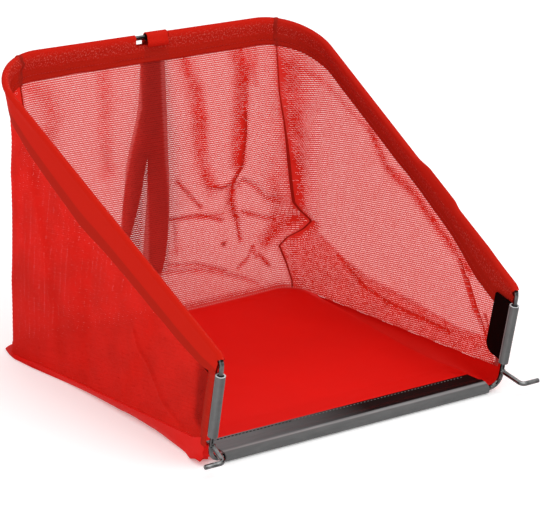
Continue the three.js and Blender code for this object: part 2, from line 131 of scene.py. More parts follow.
def rimOutline(side):
    rise = bag["kneeHeight"] - bag["railHeight"]
    foot = np.array([side * bag["frontWidth"] / 2, 0, bag["railHeight"]])
    knee = np.array([foot[0], -rise * math.tan(lean), bag["kneeHeight"]])
    back = np.array([side * bag["backWidth"] / 2, bag["depth"], bag["backHeight"]])
    middle = np.array([0.0, bag["depth"], bag["backHeight"]])
    start = bendPoints(foot, knee, back, bag["kneeBend"], 8)[4:]
    arc = bendPoints(knee, back, middle, bag["backBend"], 24)
    rim = Outline([*start, *arc, middle], side)
    rail = rim.distance[len(start)]
    rim.seam = rail + (rim.distance[-2] - rail) * bag["seamTurn"]
    return rim


def liftAt(y):
    return bag["sideLift"] * np.clip(1 - y / (bag["footEdge"] - bag["footCorner"]), 0, 1)


def footOutline(side):
    edge = bag["wallStart"] - math.tan(lean) * (bag["sideLift"] - bag["railHeight"])
    start = np.array([side * bag["footFront"] / 2, edge, 0])
    corner = np.array([side * bag["footBack"] / 2, bag["footEdge"], 0.0])
    arc = bendPoints(start, corner, np.array([0.0, bag["footEdge"], 0]), bag["footCorner"], 12)
    end = arc[-1]
    along = np.linspace(0, 1, 24)[1:]
    back = [np.array([end[0] * (1 - s), end[1] - bag["footBow"] * (1 - (1 - s) ** 2), 0]) for s in along]
    straight = [start + (arc[0] - start) * s for s in np.linspace(0, 1, 20)[:-1]]
    points = np.array([*straight, *arc, *back])
    points[:, 2] = liftAt(points[:, 1]) + 1.3
    foot = Outline(points, side)
    foot.seam = foot.distance[len(straight) + 6]  # halfway round the corner
    return foot


rims = {side: rimOutline(side) for side in sides.values()}
feet = {side: footOutline(side) for side in sides.values()}
seamGap = 0.05


# a panel's upright columns, for shares u of its width
def columnsOf(panel, u):
    u = np.asarray(u, float)
    if panel == "back":
        inward = 1 - np.abs(2 * u - 1)
        found = []
        for side in sides.values():
            rim, foot = rims[side], feet[side]
            high, low = rim.seam + seamGap, foot.seam + seamGap
            found.append((rim.at(high + inward * (rim.length - high)),
                          foot.at(low + inward * (foot.length - low))))
        right = (u >= 0.5)[..., None]
        mixed = [[np.where(right, b, a) for a, b in zip(left, other)] for left, other in zip(*found)]
        (rimPoint, rimOut, heading), (foot, footOut, _) = mixed
        heading = np.where(right, -heading, heading)
    else:
        rim, footLine = rims[sides[panel]], feet[sides[panel]]
        rimPoint, rimOut, heading = rim.at(seamGap + u * (rim.seam - 2 * seamGap))
        foot, footOut, _ = footLine.at(seamGap + u * (footLine.seam - 2 * seamGap))
    top = rimPoint + rimOut * bag["wallOffset"]
    return {"rim": rimPoint, "rimOut": rimOut, "heading": heading, "foot": foot, "top": top,
            "out": unit(rimOut + footOut), "length": np.linalg.norm(top - foot, axis=-1)}


# how far points lie along a wall: by x on the back, by y on the sides
def alongWall(panel, points):
    return points[..., 0 if panel == "back" else 1]


# share of the width between a column and the nearest corner seam
def seamShare(panel, u):
    return np.minimum(u, 1 - u) if panel == "back" else 1 - u


# folds of the hung mesh: path (along the wall, up), half width, how far it stands out,
# how closely its threads are drawn together, how dark its painted crease shade is

folds = {
    "back": [
        ([(116, 290), (123, 263), (121, 231), (118, 191), (113, 156)], 6, -2.5, 0.72, 0.16),
        ([(107, 290), (115, 263), (113, 231), (110, 191), (107, 160)], 7.5, 0, 0.5, 0),
        ([(128, 287), (131, 270), (128, 250)], 3.5, 0, 0.4, 0),
        ([(121, 215), (120, 190), (113, 153), (104, 138)], 1.7, -3, 0.6, 0.55),
        ([(137, 284), (136, 262), (138, 245)], 4, -1, 0.35, 0.05),
        ([(45, 286), (55, 256), (60, 225), (60, 181), (67, 154), (74, 138)], 9, 2.5, 0.55, 0.05),
        ([(62, 250), (68, 215), (66, 180)], 5, 0, 0.45, 0.04),
        ([(30, 151), (59, 116)], 1.4, 1.2, 0.45, 0.3),
        ([(19, 109), (59, 107), (87, 97)], 1.5, 1.6, 0.5, 0.35),
        ([(25, 103), (25, 70)], 2, 1, 0.35, 0.15),
        ([(104, 138), (88, 134), (72, 138)], 2, -3, 0.45, 0.32),
        ([(105, 136), (101, 115), (108, 94), (112, 70)], 3.4, 4, 0.7, 0.25),
        ([(98, 130), (96, 112), (103, 100)], 5, 0, 0.4, 0),
        ([(104, 137), (102, 118), (107, 95)], 1.3, -2, 0.4, 0.4),
        ([(112, 133), (118, 138), (135, 126), (150, 110), (169, 104)], 2.2, 3, 0.45, 0.28),
        ([(116, 101), (141, 90), (160, 84)], 1.6, 1.6, 0.4, 0.3),
        ([(56, 104), (88, 104)], 1.6, 1, 0.3, 0.15),
        ([(108, 38), (120, 44), (129, 57)], 1.6, 2, 0.35, 0.22),
        ([(129, 57), (133, 45)], 1.4, 2, 0.35, 0.22),
        ([(0, 52), (60, 44), (87, 35), (116, 23), (135, 13)], 3.2, 3, 0.35, 0.15),
        ([(15, 58), (53, 52), (90, 37)], 1.8, 2, 0.3, 0.2),
        ([(138, 46), (152, 31)], 1.6, 1.6, 0.35, 0.35),
        ([(-56, 286), (-55, 258), (-58, 225), (-57, 174)], 9, 2, 0.3, 0.03),
        ([(-150, 284), (-129, 269), (-122, 245), (-125, 225)], 11, -2, 0.3, 0.03),
        ([(87, 69), (89, 69)], 1.5, 0, 0.9, 0.8),
        ([(158, 70), (165, 100), (160, 130)], 9, 0, 0.3, 0.04),
        ([(-170, 5), (-80, 7), (0, 7), (80, 7), (170, 5)], 3.5, 0, 0.4, 0.15),
        ([(150, 62), (172, 76), (206, 84)], 11, 0, 0.7, 0.12),
        ([(186, 96), (187, 180)], 5, 0, 0.45, 0.05),
        ([(172, 290), (178, 200), (178, 100)], 22, 0, 0.25, 0),
    ],
    "right": [
        ([(383, 262), (380, 225), (378, 190), (378, 150), (378, 110)], 10, 1, 0.5, 0.12),
        ([(376, 100), (374, 74)], 8, 1, 0.35, 0.1),
        ([(386, 40), (383, 100), (381, 150)], 9, 0, 0.4, 0.16),
        ([(384, 290), (376, 200), (372, 110)], 26, 0, 0.25, 0),
        ([(330, 72), (297, 62), (241, 51), (144, 49)], 1.6, -1, 0.2, 0.12),
        ([(274, 48), (246, 38), (187, 33), (143, 35), (90, 34)], 2.2, 2.5, 0.5, 0.4),
        ([(300, 60), (276, 50)], 1.8, 1.5, 0.4, 0.3),
        ([(160, 160), (131, 144), (102, 127)], 3.4, 3, 0.5, 0.22),
        ([(78, 115), (62, 91), (49, 71)], 1.9, 3, 0.5, 0.5),
        ([(65, 99), (44, 70), (22, 41)], 2.1, 3, 0.5, 0.55),
        ([(30, 70), (16, 40)], 2.0, 2, 0.4, 0.4),
        ([(250, 214), (218, 182), (165, 166), (110, 137), (60, 110)], 6, 0, 0.68, 0.08),
        ([(380, 262), (320, 238), (250, 212)], 4, 0, 0.35, 0.03),
    ],
    "left": [
        ([(330, 246), (340, 190), (345, 120)], 14, -1.5, 0.3, 0.02),
        ([(302, 215), (285, 140), (272, 30)], 10, 1.5, 0.6, 0.03),
        ([(225, 170), (232, 90), (240, 10)], 13, 0, 0.35, 0.03),
        ([(90, 118), (150, 25)], 12, 3, 0.4, 0.03),
        ([(120, 100), (75, 40), (40, 22)], 3, 2, 0.4, 0.12),
        ([(200, 160), (215, 60), (220, 10)], 10, -2, 0.4, 0.02),
        ([(-14, 110), (4, 26)], 16, 0, 1.0, 0.06),
        ([(370, 5), (200, 12), (20, 26)], 5, 1, 0.5, 0),
    ],
}

# the pleat along the right wall's foot: its cloth lies double inside this outline (along, up), with painted
# shade inside it
pleat = {"outline": [(384, 70), (372, 84), (330, 73), (297, 63), (241, 52), (144, 50), (70, 46), (20, 52),
                     (8, 20), (144, 8), (280, 2), (380, 0)], "close": 0.5, "edge": 3, "dark": 0.12}

# the corners' cloth stands out from the straight line between rim and foot, by height
cornerBag = {
    "heights": (0, 14, 40, 80, 130, 200, 240, 265, 300),
    "left": (5, 3, 3, 3, 1, -2, -7, -8, -2), "leftReach": 60,
    "right": (0, 1, 2.5, 5, 5, 3, 1, 0, 0), "rightReach": 26,
}

# the right corner's seam doesn't run straight: it wanders along the wall and doubles back in a pleat
seamSlide = {
    "heights": (0, 10, 30, 51, 61, 70, 80, 92, 102, 128, 174, 203, 230),
    "along": (0, 0, -5, -12, -2, 16, 27, 15, 8, 6, 4.5, 2.5, 0), "reach": 36,
}

# slots between the threads: how far apart, how long and wide, how much painted shade where they are drawn
# shut
weave = {"pitch": 3.3, "row": 2.3, "slot": 2.75, "gap": 0.3, "least": 0.04, "relief": 0.2, "dull": 0.3,
         "uneven": 0.22, "stray": 0.07, "shift": 0.12, "atSeam": 0.7, "underHem": 2.5,
         "dense": {"back": 0.03, "right": 0.04, "left": 0.77}}


def nearPath(path, a, b):
    best = np.full(np.shape(a), 1e9)
    for (ax, ay), (bx, by) in zip(path[:-1], path[1:]):
        dx, dy = bx - ax, by - ay
        t = np.clip(((a - ax) * dx + (b - ay) * dy) / (dx * dx + dy * dy), 0, 1)
        best = np.minimum(best, np.hypot(a - ax - t * dx, b - ay - t * dy))
    return best


def insideOutline(outline, a, b):
    inside = np.zeros(np.shape(a), bool)
    for (ax, ay), (bx, by) in zip(outline, outline[1:] + outline[:1]):
        crosses = (ay > b) != (by > b)
        inside ^= crosses & (a < (bx - ax) * (b - ay) / (by - ay + 1e-9) + ax)
    return inside


def smoothStep(t):
    t = np.clip(t, 0, 1)
    return t * t * (3 - 2 * t)


noiseGrid = chance.random((128, 128))


def cloudy(a, b, scale):
    x, y = np.asarray(a) / scale + 64, np.asarray(b) / scale + 64
    i, j = np.floor(x).astype(int), np.floor(y).astype(int)
    s, t = smoothStep(x - i), smoothStep(y - j)
    g = lambda p, q: noiseGrid[p % 128, q % 128]
    return (g(i, j) * (1 - s) * (1 - t) + g(i + 1, j) * s * (1 - t)
            + g(i, j + 1) * (1 - s) * t + g(i + 1, j + 1) * s * t)


def foldOut(panel, a, b):
    return sum(out * bell(nearPath(path, a, b), width) for path, width, out, _, _ in folds[panel])


def threadsClosed(panel, a, b):
    opened = np.ones(np.shape(a))
    mottled = 0.78 + 0.44 * cloudy(a, b, 5)
    for path, width, _, close, dark in folds[panel]:
        drawn = np.clip(max(close, 2 * dark) * mottled, 0, 1)
        opened *= 1 - drawn * bell(nearPath(path, a, b), max(width, 2.8))
    if panel == "right":
        outline = pleat["outline"]
        edge = np.clip(nearPath(outline + outline[:1], a, b) / pleat["edge"], 0, 1)
        patch = insideOutline(outline, a, b) * edge
        opened *= 1 - pleat["close"] * patch * (0.7 + 0.6 * cloudy(a, b, 4))
    return 1 - opened * (1 - weave["dense"][panel])


def creaseShade(panel, a, b):
    shade = np.zeros(np.shape(a))
    for path, width, _, _, dark in folds[panel]:
        shade = np.maximum(shade, dark * bell(nearPath(path, a, b), width * 0.9))
    return shade * (0.75 + 0.5 * cloudy(a, b, 6))


# a point of a wall, at a share u of its width and rise mm up its column
def onWall(panel, u, rise, depth=0.0):
    c = columnsOf(panel, u)
    point = c["foot"] + (c["top"] - c["foot"]) * (rise / c["length"])[..., None]
    along, z = alongWall(panel, point), point[..., 2]
    height = np.clip(rise / c["length"] / (1 - bag["hemDrop"] / c["length"]), 0, 1)
    inward = np.minimum(u, 1 - u) if panel == "back" else u
    folded = foldOut(panel, along, z) + 1.2 * (cloudy(along, z, 26) - 0.5)
    folded = folded * np.sqrt(np.sin(math.pi * height)) * np.clip(inward / 0.06, 0, 1)
    fromSeam = seamShare(panel, u) * (330 if panel == "back" else 370)
    leftward = u < 0.5 if panel == "back" else np.full(np.shape(u), panel == "left")
    bagged = np.where(leftward, np.interp(z, cornerBag["heights"], cornerBag["left"]),
                      np.interp(z, cornerBag["heights"], cornerBag["right"]))
    reach = np.where(leftward, cornerBag["leftReach"], cornerBag["rightReach"])
    folded = folded * np.clip(fromSeam / 10, 0, 1) + bagged * bell(fromSeam, reach)
    slide = np.interp(z, seamSlide["heights"], seamSlide["along"])
    slide = np.where(leftward, 0, slide * bell(fromSeam, seamSlide["reach"]))
    tangent = np.stack([c["out"][..., 1], -c["out"][..., 0], 0 * slide], -1)
    return point + c["out"] * (folded + depth)[..., None] + tangent * slide[..., None]


# colours and material helpers

reds = {
    "meshAiry": (0.73, 0.115, 0.104), "mesh": (0.78, 0.014, 0.007), "meshDark": (0.67, 0.013, 0.006),
    "hem": (0.53, 0.012, 0.005), "hemMiddle": (0.45, 0.013, 0.006), "hemDark": (0.40, 0.012, 0.005),
    "speckle": (0.72, 0.14, 0.11), "floor": (0.72, 0.006, 0.003), "floorDark": (0.64, 0.006, 0.003),
    # the hanging strap's two reds carry painted shade; the rolled strap's red is the webbing as lit
    "strap": (0.26, 0.026, 0.016), "strapDark": (0.20, 0.020, 0.012), "strapRoll": (0.55, 0.012, 0.005),
    # the last red is what painted shade and dark seams are mixed towards
    "stitch": (0.75, 0.22, 0.19), "seam": (0.42, 0.008, 0.005), "shadeAndSeam": (0.21, 0.019, 0.013),
}
cool = lambda value: (value * 0.93, value, value * 1.02)


# a red by its name, a grey by its value, or any colour as it is
def colourOf(tone):
    if isinstance(tone, str):
        tone = reds[tone]
    return (tone, tone, tone, 1) if np.isscalar(tone) else (*tone, 1)


# a node with its settings; a setting that is another node's output gets linked
def addNode(tree, kind, **settings):
    node = tree.nodes.new(kind)
    for key, value in settings.items():
        if hasattr(node, key):
            setattr(node, key, value)
        elif isinstance(value, bpy.types.NodeSocket):
            tree.links.new(value, node.inputs[key.replace("_", " ")])
        else:
            node.inputs[key.replace("_", " ")].default_value = value
    return node


def newMaterial(name, colour, roughness, metallic=0.0, specular=0.5):
    material = bpy.data.materials.new(name)
    material.use_nodes = True
    shader = material.node_tree.nodes["Principled BSDF"]
    shader.inputs["Base Color"].default_value = colourOf(colour)
    shader.inputs["Roughness"].default_value = roughness
    shader.inputs["Metallic"].default_value = metallic
    shader.inputs["Specular IOR Level"].default_value = specular
    return material, material.node_tree, shader


def noise(tree, vector, scale, detail=2.0):
    return addNode(tree, "ShaderNodeTexNoise", Vector=vector, Scale=scale, Detail=detail).outputs["Fac"]


def coordinates(tree, kind):
    return addNode(tree, "ShaderNodeTexCoord").outputs[kind]


def splitVector(tree, vector):
    return addNode(tree, "ShaderNodeSeparateXYZ", Vector=vector).outputs


def mapRange(tree, value, **ends):
    return addNode(tree, "ShaderNodeMapRange", Value=value, **ends).outputs["Result"]


def multiply(tree, first, second):
    node = addNode(tree, "ShaderNodeMath", operation="MULTIPLY")
    tree.links.new(first, node.inputs[0])
    tree.links.new(second, node.inputs[1])
    return node.outputs["Value"]


def colourRamp(tree, factor, stops):
    ramp = addNode(tree, "ShaderNodeValToRGB", Fac=factor)
    elements = ramp.color_ramp.elements
    while len(elements) < len(stops):
        elements.new(0.5)
    for element, (place, colour) in zip(elements, stops):
        element.position = place
        element.color = colourOf(colour)
    return ramp.outputs["Color"]


def mixColour(tree, factor, first, second):
    mix = addNode(tree, "ShaderNodeMix", data_type="RGBA", Factor=factor)
    tree.links.new(first, mix.inputs[6])
    mix.inputs[7].default_value = colourOf(second)
    return mix.outputs[2]


def mixShaders(tree, factor, first, second):
    mix = addNode(tree, "ShaderNodeMixShader", Fac=factor)
    tree.links.new(first, mix.inputs[1])
    tree.links.new(second, mix.inputs[2])
    return mix.outputs["Shader"]


def addBump(tree, shader, height, strength, distance):
    bump = addNode(tree, "ShaderNodeBump", Height=height, Strength=strength, Distance=distance)
    tree.links.new(bump.outputs["Normal"], shader.inputs["Normal"])


# a tone that a piece's points carry
def carried(tree, name):
    return addNode(tree, "ShaderNodeAttribute", attribute_name=name).outputs["Fac"]


# painted shade in creases, folds, behind the strap and on shaded walls, and dark seams, by the points' shade
def addShade(tree, shader, colour):
    shaded = mixColour(tree, carried(tree, "shade"), colour, "shadeAndSeam")
    tree.links.new(shaded, shader.inputs["Base Color"])
    return shaded


# thin red thread that light passes through
def meshMaterial():
    material, tree, shader = newMaterial("mesh_cloth", "mesh", 0.75, specular=0.06)
    cloth = coordinates(tree, "UV")
    patches = colourRamp(tree, noise(tree, cloth, 28.0, 5.0), [(0.35, "meshDark"), (0.62, "mesh")])
    # threads that lie loosely let white through between them
    airy = mixColour(tree, carried(tree, "openness"), patches, "meshAiry")
    tint = addShade(tree, shader, airy)
    thread = addNode(tree, "ShaderNodeTexWave", bands_direction="X", Vector=cloth, Scale=420.0,
                     Distortion=1.5, Detail=2.0)
    addBump(tree, shader, thread.outputs["Fac"], 0.25, 0.0002)
    glow = addNode(tree, "ShaderNodeBsdfTranslucent", Color=tint)
    both = mixShaders(tree, 0.56, shader.outputs["BSDF"], glow.outputs["BSDF"])
    tree.links.new(both, tree.nodes["Material Output"].inputs["Surface"])
    return material


# two layers of the same mesh: opaque, with light coming through here and there in the middle
def hemMaterial():
    material, tree, shader = newMaterial("hem_cloth", "hem", 0.7, specular=0.02)
    cloth = coordinates(tree, "UV")
    across = splitVector(tree, cloth)["Y"]
    # across the hem: darker bands at both lower edges, partly painted shade and partly the extra layers of
    # cloth there
    tone = colourRamp(tree, across, [(0, "hemDark"), (0.17, "hemDark"), (0.2, "hem"), (0.6, "hem"),
                                     (0.64, "hemMiddle"), (0.79, "hemMiddle"), (0.82, "hemDark"),
                                     (1, "hemDark")])
    stretched = addNode(tree, "ShaderNodeMapping", Vector=cloth, Scale=(1.0, 0.06, 1.0))
    fine = noise(tree, stretched.outputs["Vector"], 620.0, 3.0)
    specks = colourRamp(tree, fine, [(0.53, 0), (0.68, 1)])
    zone = colourRamp(tree, across, [(0.56, 0), (0.63, 0.7), (0.76, 0.7), (0.82, 0.05)])
    speckled = mixColour(tree, multiply(tree, specks, zone), tone, "speckle")
    addShade(tree, shader, speckled)
    addBump(tree, shader, fine, 0.5, 0.0004)
    return material


def floorMaterial():
    material, tree, shader = newMaterial("coated_cloth", "floor", 0.55, specular=0.08)
    place = coordinates(tree, "Object")
    patches = colourRamp(tree, noise(tree, place, 5.0, 4.0), [(0.3, "floorDark"), (0.7, "floor")])
    addShade(tree, shader, patches)
    addBump(tree, shader, noise(tree, place, 900.0), 0.25, 0.0003)
    return material


def strapMaterial():
    material, tree, shader = newMaterial("strap_webbing", "strap", 0.8, specular=0.06)
    cloth = coordinates(tree, "UV")
    ribs = addNode(tree, "ShaderNodeTexWave", bands_direction="DIAGONAL", Vector=cloth, Scale=190.0,
                   Distortion=0.6).outputs["Fac"]
    tone = colourRamp(tree, ribs, [(0.1, "strapDark"), (0.7, "strap")])
    # the rolled part shows the webbing as lit, the hanging legs a darker copy with painted shade
    rollStart = strap["rollFrom"]
    rolled = mapRange(tree, splitVector(tree, cloth)["X"], From_Min=rollStart, From_Max=rollStart + 0.004)
    tree.links.new(mixColour(tree, rolled, tone, "strapRoll"), shader.inputs["Base Color"])
    addBump(tree, shader, ribs, 0.4, 0.0004)
    return material


def threadMaterial(name, colour):
    material, tree, shader = newMaterial(name, colour, 0.6, specular=0.3)
    addBump(tree, shader, noise(tree, coordinates(tree, "Object"), 1500.0), 0.4, 0.0002)
    return material


def wireMaterial():
    material, tree, shader = newMaterial("zinc_wire", 0.1, 0.2, metallic=1.0)
    dull = noise(tree, coordinates(tree, "Object"), 120.0, 3.0)
    tree.links.new(mapRange(tree, dull, To_Min=0.12, To_Max=0.26), shader.inputs["Roughness"])
    tree.links.new(colourRamp(tree, dull, [(0.35, 0.05), (0.65, 0.15)]), shader.inputs["Base Color"])
    addBump(tree, shader, dull, 0.1, 0.0003)
    return material


# extruded plastic with light painted in: grey where light falls on the round part, painted highlights, black
# on the flat tail in painted shade.
# way: direction that runs from the round part to the tail, start: where the round part's middle is
def plasticMaterial(name, way, start, stops, fade=None):
    material, tree, shader = newMaterial(name, 0.03, 0.45, specular=0.04)
    place = coordinates(tree, "Object")
    dot = addNode(tree, "ShaderNodeVectorMath", operation="DOT_PRODUCT")
    tree.links.new(place, dot.inputs[0])
    dot.inputs[1].default_value = way
    reach = mapRange(tree, dot.outputs["Value"], From_Min=start - 0.006, From_Max=start + 0.034)
    tone = colourRamp(tree, reach, stops)
    if fade:  # painted reflection: the tail is grey where it mirrors light on the left, and darkens to black to the right
        side = mapRange(tree, splitVector(tree, place)["X"], From_Min=-0.16, From_Max=0.02)
        onTail = mapRange(tree, reach, From_Min=0.24, From_Max=0.27)
        tone = mixColour(tree, multiply(tree, side, onTail), tone, fade)
    stretched = addNode(tree, "ShaderNodeMapping", Vector=place, Scale=(0.15, 1.0, 0.6))
    drawn = noise(tree, stretched.outputs["Vector"], 260.0, 4.0)
    varied = addNode(tree, "ShaderNodeVectorMath", operation="SCALE",
                     Scale=mapRange(tree, drawn, To_Min=0.75, To_Max=1.25))
    tree.links.new(tone, varied.inputs[0])
    tree.links.new(varied.outputs["Vector"], shader.inputs["Base Color"])
    tree.links.new(mapRange(tree, drawn, To_Min=0.38, To_Max=0.6), shader.inputs["Roughness"])
    addBump(tree, shader, drawn, 0.12, 0.0003)
    return material


# webbing loop: path (x, behind the wall, up) down one leg, round the loop and up the other
strap = {
    "width": 26, "thick": 1.3, "centre": 8, "standOff": 3.5, "rollReach": 4.7, "rollFrom": 0.62,
    "path": [(9, 0, 306), (10.5, 0, 284), (12.3, 0, 229), (13.8, 1, 175), (14.2, 2, 140), (12.8, 3, 107),
             (9.5, 6, 62), (0, 8, 25), (-16, 9, 8), (-32, 8, 18), (-35, 6, 46), (-31, 4, 76), (-24.8, 2, 111),
             (-18.6, 1, 144), (-13.4, 0, 178), (-0.5, -1.4, 229), (5, -1.6, 283), (7, -1.6, 306)],
    "seamHalf": 10, "seams": (291, 297), "seamTop": 303, "seamProud": 1.5,
    # painted shade on the mesh in front of the legs, which block the light from behind, and less white shows
    # through it
    "shadeHalf": 13.5, "shadeEdge": 1.5, "dull": 0.28, "close": 0.5,
    "shade": [[(2, 300), (2, 229), (3, 175), (5, 140), (4, 107), (2, 62)],
              [(-1, 229), (-12, 195), (-27, 140), (-33, 76), (-35, 46)]],
}

# tones from the round part to the tail: painted highlight bands on the round part and its ridge; the side
# profiles' tails are painted black as shade
sideStops = [(0, 0.06), (0.06, 0.14), (0.17, 0.12), (0.2, 0.3), (0.22, 0.3), (0.24, 0.09), (0.27, 0.02),
             (0.29, 0.0012), (1, 0.001)]
frontStops = [(0, 0.1), (0.13, 0.12), (0.16, 0.24), (0.2, 0.24), (0.24, cool(0.15)), (1, cool(0.19))]
sideStart = float(np.dot(placed([0, 0, bag["railHeight"]]), squareOn))
toBack = (0, 1, 0)

materials = {
    "mesh": meshMaterial(), "hem": hemMaterial(), "floor": floorMaterial(), "strap": strapMaterial(),
    "wire": wireMaterial(),
    "sidePlastic": plasticMaterial("dark_plastic_side", squareOn, sideStart, sideStops),
    "frontPlastic": plasticMaterial("dark_plastic_front", toBack, -bag["middle"] * mm, frontStops, 0.002),
    "hollowShade": plasticMaterial("black_hollow_shade", toBack, 0, [(0, 0.002), (1, 0.002)]),
    "rim": plasticMaterial("cut_rim", toBack, 0, [(0, (0.6, 0.6, 0.61)), (1, (0.6, 0.6, 0.61))]),
    "redThread": threadMaterial("red_thread", "seam"),
    "paleThread": threadMaterial("pale_thread", "stitch"),
    "greyThread": threadMaterial("grey_thread", 0.16),
    "blackThread": threadMaterial("black_thread", 0.003),
}
print("materials made")


# mesh helpers

# a piece in its place, with the solid that it replaces and the tones that its points carry
def addPiece(name, points, faces, finish, replaced=None, uvs=None, **tones):
    mesh = bpy.data.meshes.new(name)
    mesh.from_pydata(placed(points).tolist(), [], faces)
    if uvs is not None:
        layer = mesh.uv_layers.new(name="cloth")
        index = np.zeros(len(mesh.loops), int)
        mesh.loops.foreach_get("vertex_index", index)
        layer.data.foreach_set("uv", np.asarray(uvs, np.float32).reshape(-1, 2)[index].ravel())
    for title, values in tones.items():
        tone = mesh.attributes.new(title, "FLOAT", "POINT")
        tone.data.foreach_set("value", np.asarray(values, np.float32).ravel())
    mesh.polygons.foreach_set("use_smooth", [True] * len(mesh.polygons))
    mesh.update()
    mesh.validate()
    mesh.materials.append(materials[finish])
    piece = bpy.data.objects.new(name, mesh)
    scene.collection.objects.link(piece)
    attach(piece, "root")
    if replaced:
        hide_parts(replaced)
    return piece


# a piece from a grid of points; closed joins each row's ends, capped shuts the first and the last row
def gridPiece(name, grid, finish, replaced=None, uvs=None, keep=None, closed=False, capped=False, **tones):
    rows, columns = np.shape(grid)[:2]
    faces = []
    for i in range(rows - 1):
        for j in range(columns if closed else columns - 1):
            a, b = i * columns + j, i * columns + (j + 1) % columns
            if keep is None or keep[i, j]:
                faces.append((a, b, b + columns, a + columns))
    if capped:
        last = (rows - 1) * columns
        faces += [tuple(range(columns - 1, -1, -1)), tuple(range(last, last + columns))]
    return addPiece(name, np.reshape(grid, (-1, 3)), faces, finish, replaced, uvs, **tones)


# cloth coordinates of a grid: run changes from row to row, across within a row
def gridUvs(grid, run, across):
    shape = grid.shape[:2]
    return np.stack([np.broadcast_to(np.reshape(run, (-1, 1)), shape), np.broadcast_to(across, shape)], -1)


# mesh panels: a real lattice, staggered slots between the threads

# painted shade on the left wall: a little all over, more below a height
leftWallShade = {"least": 0.03, "more": 0.17, "from": 150, "over": 70}


# 1 where the strap hangs behind the mesh
def strapBehind(points):
    spread = [nearPath(leg, points[:, 0], points[:, 2]) for leg in strap["shade"]]
    return np.clip((strap["shadeHalf"] - np.minimum(*spread)) / strap["shadeEdge"], 0, 1)


# the tones of a panel's points: their painted shade, and how much white shows between the threads
def meshTones(panel, points):
    along, z = alongWall(panel, points), points[:, 2]
    shade = creaseShade(panel, along, z)
    drawn = np.clip(threadsClosed(panel, along, z), 0, 1)
    if panel == "left":  # painted shade, more towards the foot
        low = np.clip((leftWallShade["from"] - z) / leftWallShade["over"], 0, 1)
        shade = np.maximum(shade, leftWallShade["least"] + leftWallShade["more"] * low)
    else:  # painted shade where the threads are drawn together in folds
        shade = np.maximum(shade, weave["dull"] * drawn)
    if panel == "right":
        shade = np.maximum(shade, pleat["dark"] * insideOutline(pleat["outline"], along, z))
    if panel == "back":
        behind = strapBehind(points)
        shade = np.maximum(shade, strap["dull"] * behind)
        drawn = np.maximum(drawn, strap["close"] * behind)
    return shade, (1 - drawn) ** 2


def meshPanel(panel, width, slope):
    count = int(round(width / weave["pitch"]))
    w = np.arange(2 * count + 1) * (width / (2 * count))
    u = w / width
    c = columnsOf(panel, u)
    footZ = c["foot"][:, 2]
    reach = c["length"] - bag["hemDrop"] + weave["underHem"]
    low = math.floor((footZ.min() - abs(slope) * width) / weave["row"])
    high = math.ceil((footZ + reach).max() / weave["row"]) + 1
    lines = np.arange(low, high + 1)
    drop = slope * (width - w)
    raw = lines[:, None] * weave["row"] + drop - footZ
    rise = np.clip(raw, 0, reach)
    below, above = raw <= 0, raw >= reach

    # a cell spans two columns, and every second row is shifted by one
    cells, opened = [], []
    for r in range(len(lines) - 1):
        for k in range(-(r % 2), 2 * count, 2):
            left, right = max(k, 0), min(k + 2, 2 * count)
            ring = [(r, j) for j in range(left, right + 1)] + [(r + 1, j) for j in range(right, left - 1, -1)]
            if all(below[p] for p in ring) or all(above[p] for p in ring):
                continue
            cells.append(ring)
            opened.append(right - left == 2 and not any(below[p] or above[p] for p in ring))
    column = np.minimum([ring[0][1] + 1 for ring in cells], 2 * count)
    slotU = u[column]
    slotRise = (low + 0.5 + np.array([ring[0][0] for ring in cells])) * weave["row"] + (drop - footZ)[column]
    centre = onWall(panel, slotU, np.clip(slotRise, 0, None))
    along = alongWall(panel, centre)
    closed = threadsClosed(panel, along, centre[:, 2])
    uneven = weave["uneven"] * (cloudy(along, centre[:, 2], 9) - 0.5)
    closed = closed + uneven + chance.normal(0, weave["stray"], len(closed)) * (1 + closed)
    closed += weave["atSeam"] * bell(seamShare(panel, slotU) * width, 4)
    gap = weave["gap"] * (1 - np.clip(closed, -0.25, 1))
    opened = np.array(opened) & (gap > weave["least"])

    # ridges along the rows, slots a little deeper
    ridge = np.where(lines % 2 == 0, 1, -1)[:, None] * weave["relief"] * np.ones(raw.shape)
    points = onWall(panel, np.tile(u, len(lines)), rise.ravel(), ridge.ravel())
    halfSlot, halfGap = weave["slot"] / 2, gap[opened] / 2
    slotU, slotRise = slotU[opened], slotRise[opened]
    shift = chance.normal(0, weave["shift"], len(slotU))
    corner = [onWall(panel, slotU + (a * halfSlot + shift) / width, slotRise + b * halfGap, -weave["relief"])
              for a, b in ((-1, -1), (1, -1), (1, 1), (-1, 1))]
    points = np.vstack([points, np.stack(corner, 1).reshape(-1, 3)])
    uvs = np.stack([np.append(np.tile(w, len(lines)), np.repeat(slotU * width, 4)),
                    np.append(rise.ravel(), np.repeat(slotRise, 4))], -1) * mm

    faces, slot = [], raw.size
    for ring, isOpen in zip(cells, opened):
        outer = [r * len(w) + k for r, k in ring]
        if not isOpen:
            faces.append(outer)
            continue
        a, b, d, e, f, g = outer
        p, q, s, t = range(slot, slot + 4)
        faces += [(a, b, q, p), (b, d, q), (d, e, s, q), (e, f, t, s), (f, g, t), (g, a, p, t)]
        slot += 4
    used = np.unique(np.concatenate(faces))
    renumber = np.full(len(points), -1)
    renumber[used] = np.arange(len(used))
    faces = [renumber[list(face)].tolist() for face in faces]
    shade, openness = meshTones(panel, points[used])
    piece = addPiece(panel + "_mesh", points[used], faces, "mesh", panel + "_panel", uvs[used],
                     shade=shade, openness=openness)
    height = float(c["length"].max() - bag["hemDrop"])
    area = float(np.trapz(reach - weave["underHem"], w)) * mm * mm
    print(piece.name, "cells", len(cells), "slots", int(opened.sum()), "flat", round(width), round(height))
    return piece, (width * mm, height * mm), area


panels = {}
for panel, width, slope in (("back", 352, 0), ("left", 392, 0.15), ("right", 392, 0.15)):
    panels[panel] = meshPanel(panel, width, slope)


# hems: the panels' top edges, turned in round the wire

